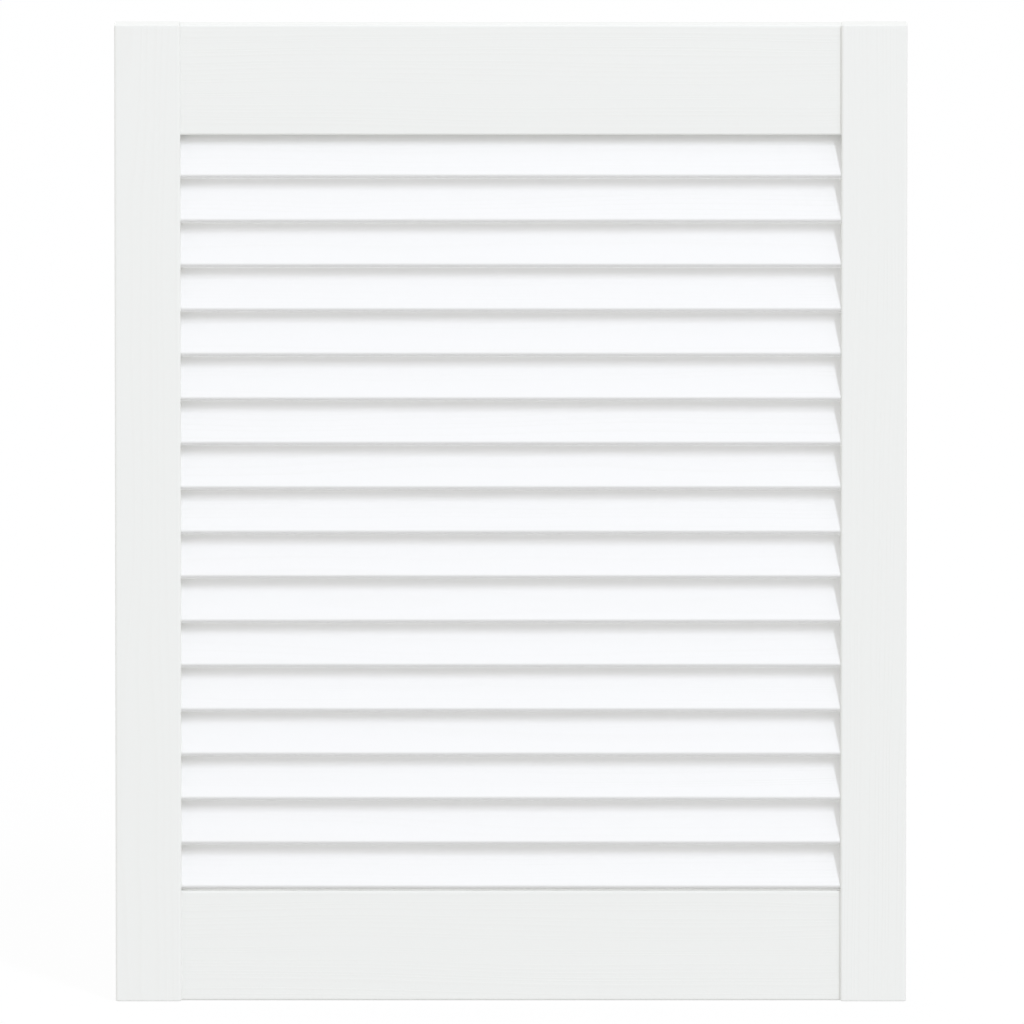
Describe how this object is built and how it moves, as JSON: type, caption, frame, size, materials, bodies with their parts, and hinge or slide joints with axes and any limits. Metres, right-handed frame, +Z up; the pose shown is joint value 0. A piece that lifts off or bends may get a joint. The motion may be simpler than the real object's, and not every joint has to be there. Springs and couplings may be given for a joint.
{
  "type": "louvred cabinet door",
  "caption": "White painted pine cabinet door: dowelled frame of stiles and recessed rails, filled with fixed sloping louvres that let air through and hide the inside.",
  "frame": {"origin": "middle of the door's bottom edge, half way through its thickness", "axes": "+Z up along the stiles, +X to the right seen from the front, front face towards -Y"},
  "size_m": [0.494, 0.021, 0.615],
  "materials": {
    "frame_paint": "white satin paint on pine",
    "louvre_paint": "white satin paint on pine",
    "dowel_beech": "bare fluted beech"
  },
  "bodies": {
    "root": {"left_stile": "frame_paint", "right_stile": "frame_paint", "top_rail": "frame_paint", "bottom_rail": "frame_paint", "louvre_01": "louvre_paint", "louvre_02": "louvre_paint", "louvre_03": "louvre_paint", "louvre_04": "louvre_paint", "louvre_05": "louvre_paint", "louvre_06": "louvre_paint", "louvre_07": "louvre_paint", "louvre_08": "louvre_paint", "louvre_09": "louvre_paint", "louvre_10": "louvre_paint", "louvre_11": "louvre_paint", "louvre_12": "louvre_paint", "louvre_13": "louvre_paint", "louvre_14": "louvre_paint", "louvre_15": "louvre_paint", "louvre_16": "louvre_paint", "louvre_17": "louvre_paint", "dowel_top_left_1": "dowel_beech", "dowel_top_left_2": "dowel_beech", "dowel_top_right_1": "dowel_beech", "dowel_top_right_2": "dowel_beech", "dowel_bottom_left_1": "dowel_beech", "dowel_bottom_left_2": "dowel_beech", "dowel_bottom_right_1": "dowel_beech", "dowel_bottom_right_2": "dowel_beech"}
  },
  "joints": []
}
